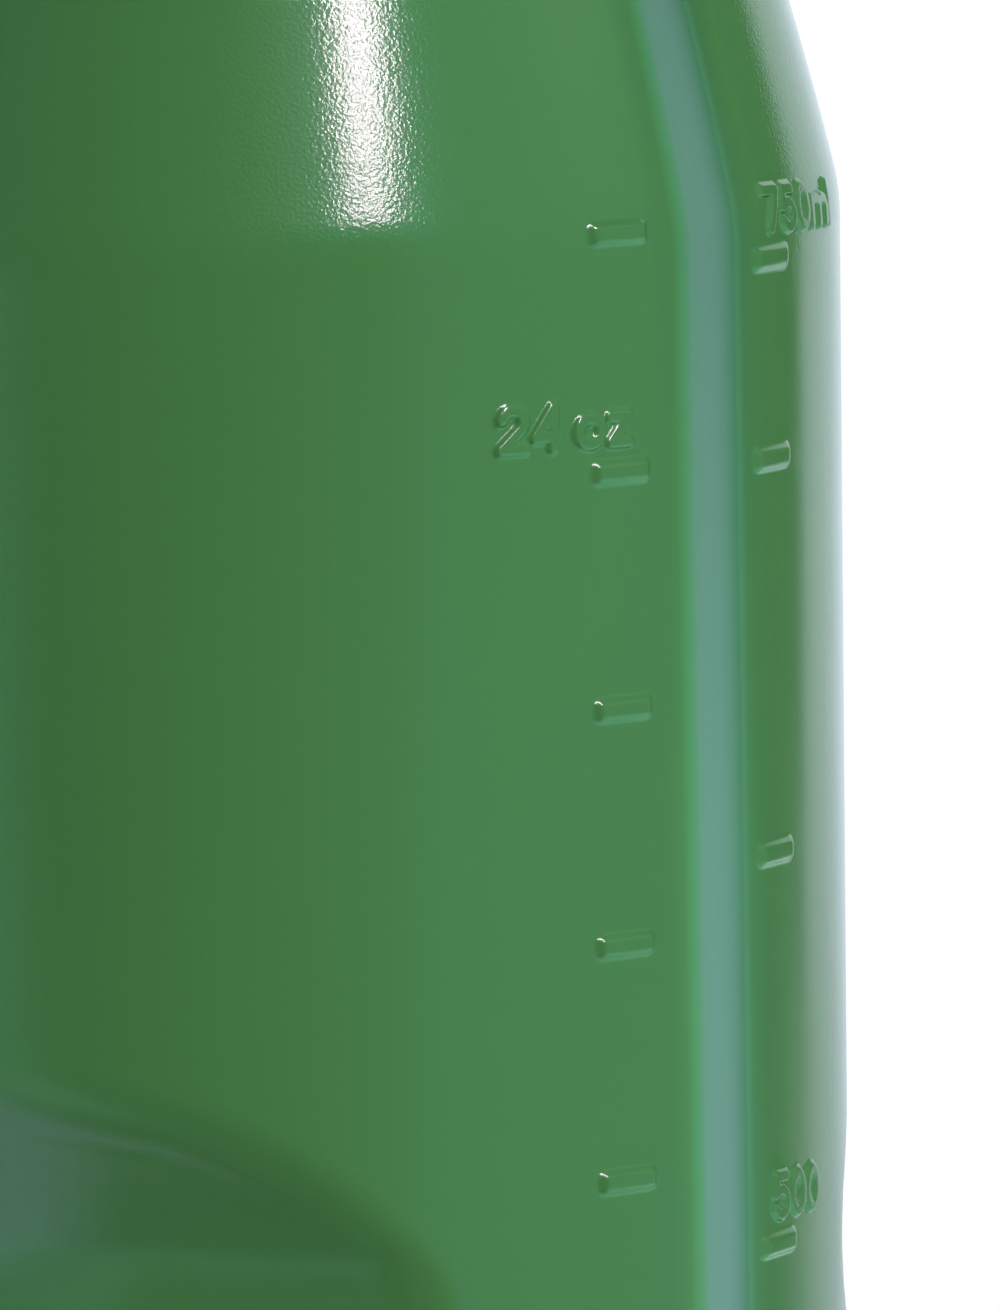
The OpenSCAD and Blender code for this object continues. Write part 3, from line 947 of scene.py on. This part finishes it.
def build_seal():
    """The disc in the cap, with the plug that closes the outlet."""
    corners = [
        (0.0, PLUG_Z + 0.15, 0), (2.2, PLUG_Z + 0.15, 0.3), (2.6, PLUG_Z, 0.2),
        (OUTLET_R - 0.4, PLUG_Z, 0.35), (OUTLET_R - 0.4, TIP_Z, 0.15), (TIP_R + 0.5, TIP_Z, 0.2),
        (TIP_R + 0.5, SEAL_TOP, 0.2), (0.0, SEAL_TOP, 0)]
    points, faces = lathe(dense(open_rounded(corners), 0.6, closed=False), 128)
    new_piece("tip_seal_disc", points, faces, "seal", LINER_FOAM, ["tip_seal"])


build_spout()
build_cap()
build_ring()
build_gasket()
build_seal()

# ---------------------------------------------------------------- camera
# The camera stands 0.79 m from the axis, a little above the shoulder, and looks down past the axis.
CAMERA_AZIMUTH = math.radians(-48.64)
CAMERA_DISTANCE = 787.6
CAMERA_HEIGHT = 264.8
CAMERA_YAW = math.radians(-1.0816)
CAMERA_PITCH = math.radians(7.363)
CAMERA_ROLL = math.radians(-0.653)
SENSOR = 36.0
LENS = 341.739


def build_camera():
    """A long lens, as on a product close-up."""
    data = bpy.data.cameras.new("camera")
    data.sensor_width = SENSOR
    data.lens = LENS
    data.clip_start, data.clip_end = 0.05, 50
    towards = CAMERA_AZIMUTH + CAMERA_YAW
    forward = Vector((-math.cos(towards) * math.cos(CAMERA_PITCH),
                      -math.sin(towards) * math.cos(CAMERA_PITCH), -math.sin(CAMERA_PITCH)))
    level = forward.cross(Vector((0, 0, 1))).normalized()
    upright = level.cross(forward)
    right = level * math.cos(CAMERA_ROLL) + upright * math.sin(CAMERA_ROLL)
    up = upright * math.cos(CAMERA_ROLL) - level * math.sin(CAMERA_ROLL)
    place = Vector((math.cos(CAMERA_AZIMUTH) * CAMERA_DISTANCE,
                    math.sin(CAMERA_AZIMUTH) * CAMERA_DISTANCE, CAMERA_HEIGHT)) * MM
    camera = bpy.data.objects.new("camera", data)
    camera.matrix_world = Matrix.Translation(place) @ Matrix((right, up, -forward)).transposed().to_4x4()
    bpy.context.scene.collection.objects.link(camera)
    bpy.context.scene.camera = camera


build_camera()


# ---------------------------------------------------------------- light and floor
def between(tree, value, start, end, soft_start, soft_end):
    """1 between two bounds and 0 outside them, with soft edges."""
    edges = []
    for at, soft, low, high in ((start, soft_start, 0.0, 1.0), (end, soft_end, 1.0, 0.0)):
        edges.append(add(tree, "ShaderNodeMapRange", {
            "Value": value, "From Min": at - soft, "From Max": at + soft, "To Min": low, "To Max": high},
            interpolation_type="SMOOTHSTEP").outputs[0])
    return product(tree, *edges)


def lit(tree, total, mask, colour):
    """The total with a colour added where the mask is 1."""
    tinted = add(tree, "ShaderNodeVectorMath", {0: colour, 3: mask}, operation="SCALE")
    return add(tree, "ShaderNodeVectorMath", {0: total, 1: tinted.outputs[0]}, operation="ADD").outputs[0]


AMBIENT = 0.008


def build_world():
    """A white studio. Reflections see a backdrop, a soft box at the right, a wall at the left and a
    table below."""
    world = bpy.data.worlds.new("studio")
    bpy.context.scene.world = world
    world.use_nodes = True
    tree = world.node_tree
    tree.nodes.clear()
    direction = add(tree, "ShaderNodeTexCoord").outputs["Generated"]
    turned = add(tree, "ShaderNodeVectorRotate", {"Vector": direction, "Angle": -CAMERA_AZIMUTH},
                 rotation_type="Z_AXIS").outputs[0]
    parts = add(tree, "ShaderNodeSeparateXYZ", {0: turned}).outputs
    radians = add(tree, "ShaderNodeMath", {0: parts["Y"], 1: parts["X"]}, operation="ARCTAN2").outputs[0]
    azimuth = product(tree, radians, 180 / math.pi)
    lift = add(tree, "ShaderNodeMath", {0: parts["Z"]}, operation="ARCSINE").outputs[0]
    elevation = product(tree, lift, 180 / math.pi)
    level = between(tree, elevation, -8.6, 95, 1.2, 2)
    below = between(tree, elevation, -95, -8.6, 2, 1.2)
    table = between(tree, elevation, -79, -24, 3, 8)
    under = between(tree, elevation, -95, -79, 2, 3)
    deep = between(tree, elevation, -79, -48, 3, 8)
    high = between(tree, elevation, -60, 62, 5, 10)
    glow = between(tree, elevation, -52, -4, 8, 4)
    halo = between(tree, elevation, 12, 70, 6, 6)
    aside = add(tree, "ShaderNodeMath", {0: azimuth}, operation="ABSOLUTE").outputs[0]
    total = (0.012, 0.02, 0.02)
    # Each light: the angle round that bounds it, with its start, end and softness at each, the band of
    # heights it fills, and its colour.
    for value, bounds, heights, colour in (
            (azimuth, (27, 113, 3, 6), high, (0.08, 0.26, 0.31)),
            (azimuth, (24, 120, 10, 10), below, (0.02, 0.08, 0.22)),
            (azimuth, (-122, -47, 6, 5), high, (0.05, 0.14, 0.17)),
            (aside, (134.2, 190, 1.0, 2), level, (1.05, 1.16, 1.33)),
            (aside, (127, 190, 13, 2), below, (0.84, 0.93, 1.08)),
            (aside, (-10, 190, 1, 1), under, (0.5, 0.53, 0.52)),
            (azimuth, (30, 142, 15, 28), table, (0.5, 1.7, 0.9)),
            (azimuth, (-158, -82, 22, 12), table, (0.48, 0.58, 0.88)),
            (aside, (150, 190, 25, 2), deep, (0.5, 1.0, 0.85)),
            (azimuth, (-95, -50, 12, 5), glow, (0.2, 0.55, 0.42)),
            (azimuth, (8, 36, 4, 4), halo, (0.0, 0.6, 0.6))):
        total = lit(tree, total, product(tree, between(tree, value, *bounds), heights), colour)
    path = add(tree, "ShaderNodeLightPath")
    seen = add(tree, "ShaderNodeBackground", {"Color": (1, 1, 1, 1), "Strength": 1.0}).outputs[0]
    mirrored = add(tree, "ShaderNodeBackground", {"Color": total, "Strength": 1.0}).outputs[0]
    ambient = add(tree, "ShaderNodeBackground", {"Color": (0.96, 1, 1, 1), "Strength": AMBIENT}).outputs[0]
    glossy, camera_ray = path.outputs["Is Glossy Ray"], path.outputs["Is Camera Ray"]
    indirect = add(tree, "ShaderNodeMixShader", {0: glossy, 1: ambient, 2: mirrored}).outputs[0]
    choice = add(tree, "ShaderNodeMixShader", {0: camera_ray, 1: indirect, 2: seen}).outputs[0]
    out = add(tree, "ShaderNodeOutputWorld")
    tree.links.new(choice, out.inputs["Surface"])


def lamp(name, azimuth, elevation, distance, size, power, shines, colour=(1, 1, 1)):
    """A rectangular lamp facing the shoulder. azimuth is in degrees from the camera's direction, to the
    right. shines says whether it lights the surfaces ("body") or shows in their gloss ("gloss")."""
    data = bpy.data.lights.new(name, "AREA")
    data.shape = "RECTANGLE"
    data.size, data.size_y = size
    data.energy = power
    data.color = colour
    piece = bpy.data.objects.new(name, data)
    a, e = CAMERA_AZIMUTH + math.radians(azimuth), math.radians(elevation)
    away = Vector((math.cos(a) * math.cos(e), math.sin(a) * math.cos(e), math.sin(e)))
    piece.location = Vector((0, 0, 200 * MM)) + away * distance
    piece.rotation_mode = "QUATERNION"
    piece.rotation_quaternion = away.to_track_quat("Z", "Y")
    piece.visible_camera = False
    piece.visible_glossy = shines == "gloss"
    piece.visible_diffuse = shines == "body"
    bpy.context.scene.collection.objects.link(piece)


FLOOR_R = 0.5


def build_floor():
    """A pale floor that melts into the white surroundings towards its rim."""
    bm = bmesh.new()
    bmesh.ops.create_circle(bm, cap_ends=True, segments=96, radius=FLOOR_R)
    mesh = bpy.data.meshes.new("floor")
    bm.to_mesh(mesh)
    bm.free()
    floor = bpy.data.objects.new("floor", mesh)
    bpy.context.scene.collection.objects.link(floor)
    material, tree, shader = node_tree("floor_pale")
    place = add(tree, "ShaderNodeTexCoord").outputs["Object"]
    reach = add(tree, "ShaderNodeVectorMath", {0: place}, operation="LENGTH").outputs["Value"]
    fade = add(tree, "ShaderNodeMapRange", {"Value": reach, "From Min": 0.12, "From Max": FLOOR_R * 0.95},
               interpolation_type="SMOOTHSTEP").outputs[0]
    seen = add(tree, "ShaderNodeLightPath").outputs["Is Camera Ray"]
    glow = add(tree, "ShaderNodeEmission", {"Color": (1, 1, 1, 1), "Strength": 1.0}).outputs[0]
    pale = mixed(tree, noise(tree, 40), (0.82, 0.82, 0.81), (0.86, 0.86, 0.85))
    tree.links.new(pale, shader.inputs["Base Color"])
    shader.inputs["Roughness"].default_value = 0.8
    inputs = {0: product(tree, fade, seen), 1: shader.outputs[0], 2: glow}
    joined = add(tree, "ShaderNodeMixShader", inputs).outputs[0]
    tree.links.new(joined, tree.nodes["Material Output"].inputs["Surface"])
    mesh.materials.append(material)
    floor.visible_glossy = False


def build_lamps():
    """Four soft boxes light the surfaces. Two strips make the highlight down the shoulder."""
    lamp("key_front", 10, 28, 1.5, (0.5, 0.5), 13.0, "body")
    lamp("key_right", 76, 28, 1.5, (0.5, 0.5), 9.5, "body")
    lamp("fill_back", 186, 5, 1.5, (0.5, 0.5), 9.0, "body")
    lamp("fill_left", -130, 5, 1.5, (0.5, 0.5), 7.0, "body")
    for name, azimuth in (("strip_left", 19.9), ("strip_right", 24.9)):
        lamp(name, azimuth, 40, 1.3, (0.05, 0.96), 8.8, "gloss", (1.0, 0.78, 0.92))


build_world()
build_floor()
build_lamps()
bpy.context.scene.view_settings.view_transform = "Standard"
